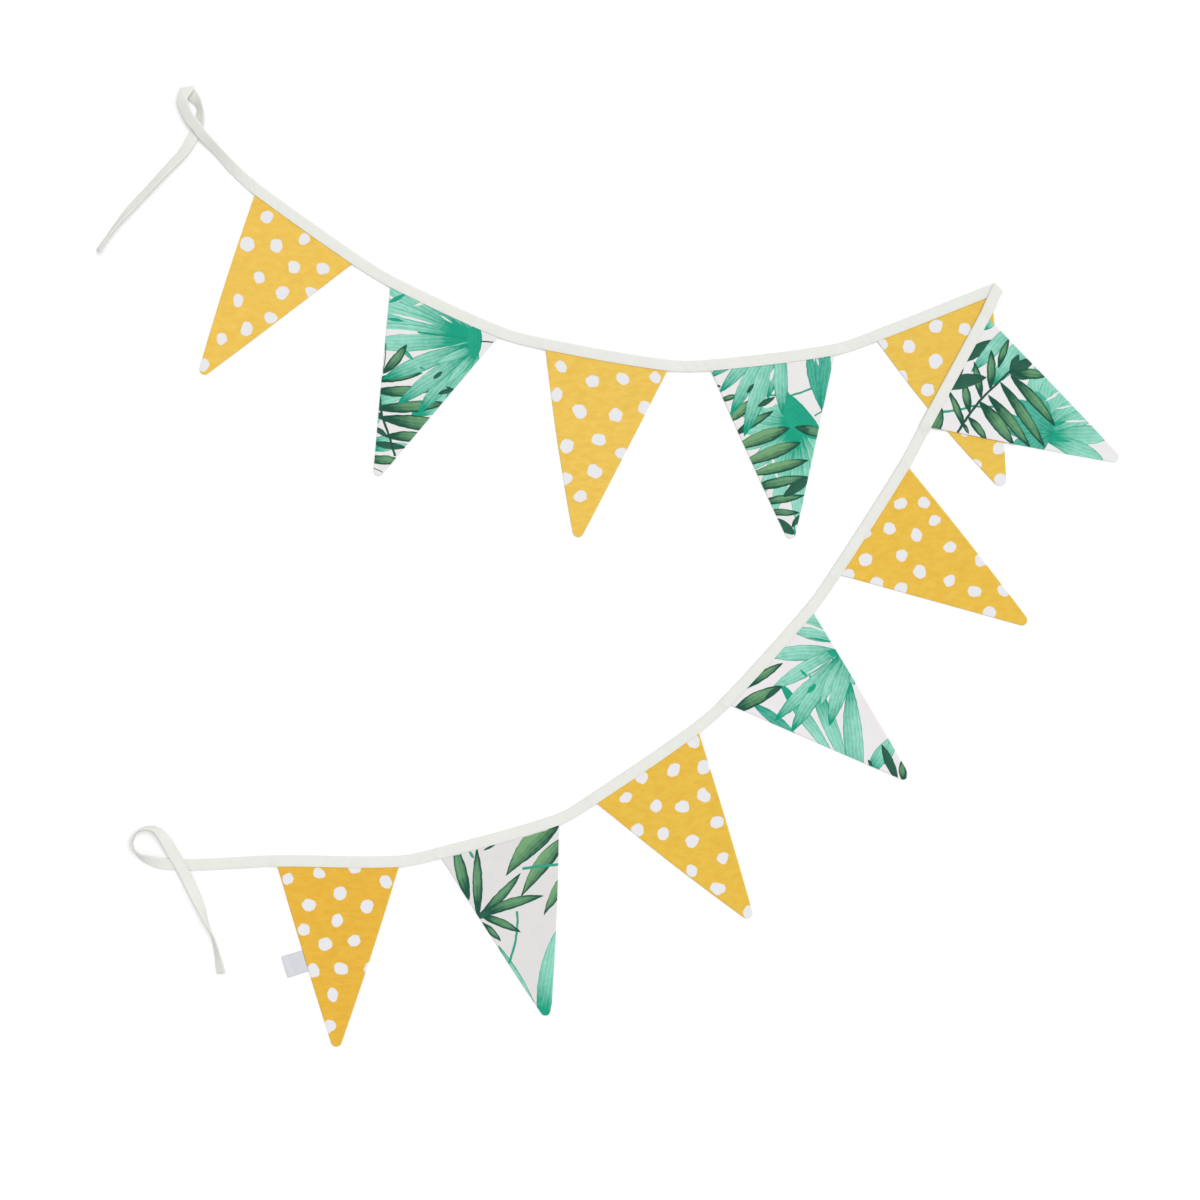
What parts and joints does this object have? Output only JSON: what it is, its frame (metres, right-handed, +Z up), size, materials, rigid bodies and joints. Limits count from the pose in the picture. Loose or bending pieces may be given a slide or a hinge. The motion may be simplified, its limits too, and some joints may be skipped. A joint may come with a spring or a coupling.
{
  "type": "fabric bunting",
  "caption": "Cotton bunting laid out in a sideways V: pointed two-layer pennants held in a folded binding whose free ends are looped ties.",
  "frame": {"origin": "centre of the laid-out bunting's bounding box in plan, on the surface that it lies on", "axes": "+Z up, +X to the right and +Y away from the viewer in the laid-out view from above, the fold of the binding at +X and its ties at -X"},
  "size_m": [1.1346, 1.0657, 0.0137],
  "materials": {
    "binding_cotton": "matte off-white cotton, plain weave cut on the bias",
    "mustard_dot_cotton": "matte mustard cotton with uneven pale dots",
    "leaf_print_cotton": "matte white cotton printed with green and teal palm leaves",
    "label_ribbon": "satin pale ribbon, left bare"
  },
  "bodies": {
    "root": {"binding_tape": "binding_cotton", "pennant_01": "mustard_dot_cotton", "pennant_02": "leaf_print_cotton", "pennant_03": "mustard_dot_cotton", "pennant_04": "leaf_print_cotton", "pennant_05": "mustard_dot_cotton", "pennant_06": "leaf_print_cotton", "pennant_07": "mustard_dot_cotton", "pennant_08": "leaf_print_cotton", "pennant_09": "mustard_dot_cotton", "pennant_10": "leaf_print_cotton", "pennant_11": "mustard_dot_cotton", "side_label": "label_ribbon"}
  },
  "joints": []
}
